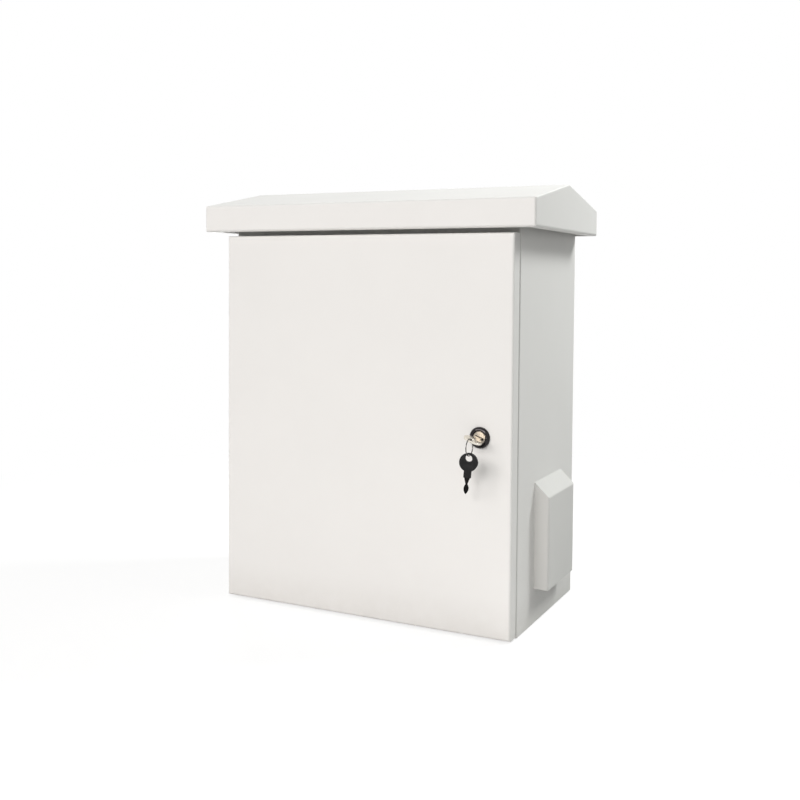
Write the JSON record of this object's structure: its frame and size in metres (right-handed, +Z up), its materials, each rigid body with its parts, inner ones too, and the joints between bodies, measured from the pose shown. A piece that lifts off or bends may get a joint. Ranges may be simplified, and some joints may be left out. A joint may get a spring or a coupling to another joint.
{
  "type": "roadside utility cabinet",
  "caption": "Folded sheet-steel outdoor cabinet with a pitched overhanging roof, a hinged door with a key lock, rain-hooded side vents and cable entries in the base.",
  "frame": {"origin": "middle of the body's base, on the axis of the middle cable entry at its lower mouth", "axes": "+Z up, the door faces -Y, +X to the right as the door is faced"},
  "size_m": [0.458, 0.2792, 0.5404],
  "materials": {
    "powder_coat": "pale grey-white powder coat, semi-gloss, finely textured",
    "zinc_steel": "galvanised or zinc-plated steel",
    "bright_steel": "bright plated steel",
    "black_steel": "blackened key steel, satin",
    "rubber": "black, matte",
    "lock_chrome": "polished plating",
    "lock_brass": "pale nickel-brass, worn satin",
    "key_plastic": "black moulded plastic"
  },
  "bodies": {
    "cabinet": {"body_wrap": "powder_coat", "top_panel": "powder_coat", "base_panel": "powder_coat", "roof_cap": "powder_coat", "vent_hood_left": "powder_coat", "vent_hood_right": "powder_coat", "roof_bracket_left": "zinc_steel", "roof_bracket_right": "zinc_steel", "roof_bolts": "zinc_steel", "roof_nuts": "zinc_steel", "vent_screen_left": "zinc_steel", "vent_screen_right": "zinc_steel", "vent_rivets": "zinc_steel", "mounting_plate": "zinc_steel", "entry_plate": "zinc_steel", "body_hinge_leaf_upper": "zinc_steel", "body_hinge_leaf_lower": "zinc_steel", "plate_studs": "bright_steel", "plate_nuts": "bright_steel", "entry_screws": "bright_steel", "entry_seal": "rubber", "cable_grommet_left": "rubber", "cable_grommet_middle": "rubber", "cable_grommet_right": "rubber", "earth_stud": "lock_brass", "earth_nut": "lock_brass"},
    "door": {"door_pan": "powder_coat", "door_seal": "rubber", "door_hinge_bracket_upper": "zinc_steel", "door_hinge_bracket_lower": "zinc_steel", "hinge_pin_upper": "bright_steel", "hinge_pin_lower": "bright_steel", "door_earth_stud": "lock_brass", "door_earth_nut": "lock_brass", "lock_body": "lock_chrome", "lock_nut": "zinc_steel"},
    "lock_barrel": {"lock_plug": "lock_brass", "lock_cam": "zinc_steel", "cam_screw": "bright_steel"},
    "key": {"lock_key": "lock_brass"},
    "ring": {"key_ring": "bright_steel"},
    "spare_key": {"spare_key_blade": "black_steel", "spare_key_head": "key_plastic"}
  },
  "joints": [
    {"name": "door_hinge", "type": "hinge", "parent": "cabinet", "child": "door", "pos_m": [-0.195, -0.114, 0.2395], "axis": [0, 0, -1], "range_deg": [0, 110]},
    {"name": "lock_turn", "type": "hinge", "parent": "door", "child": "lock_barrel", "pos_m": [0.16, -0.128, 0.2383], "axis": [0, -1, 0], "range_deg": [0, 90]},
    {"name": "key_pull", "type": "slide", "parent": "lock_barrel", "child": "key", "axis": [0, -1, 0], "range_m": [0, 0.035]},
    {"name": "ring_swing", "type": "hinge", "parent": "key", "child": "ring", "pos_m": [0.16018, -0.16036, 0.23822], "axis": [0, -1, 0], "range_deg": [-60, 0]},
    {"name": "spare_key_swing", "type": "hinge", "parent": "ring", "child": "spare_key", "pos_m": [0.16018, -0.16036, 0.22181], "axis": [0, -1, 0], "range_deg": [-30, 0]}
  ],
  "couplings": [
    {"joint": "ring_swing", "follows": "lock_turn", "ratio": -0.6666},
    {"joint": "spare_key_swing", "follows": "lock_turn", "ratio": -0.3333}
  ]
}
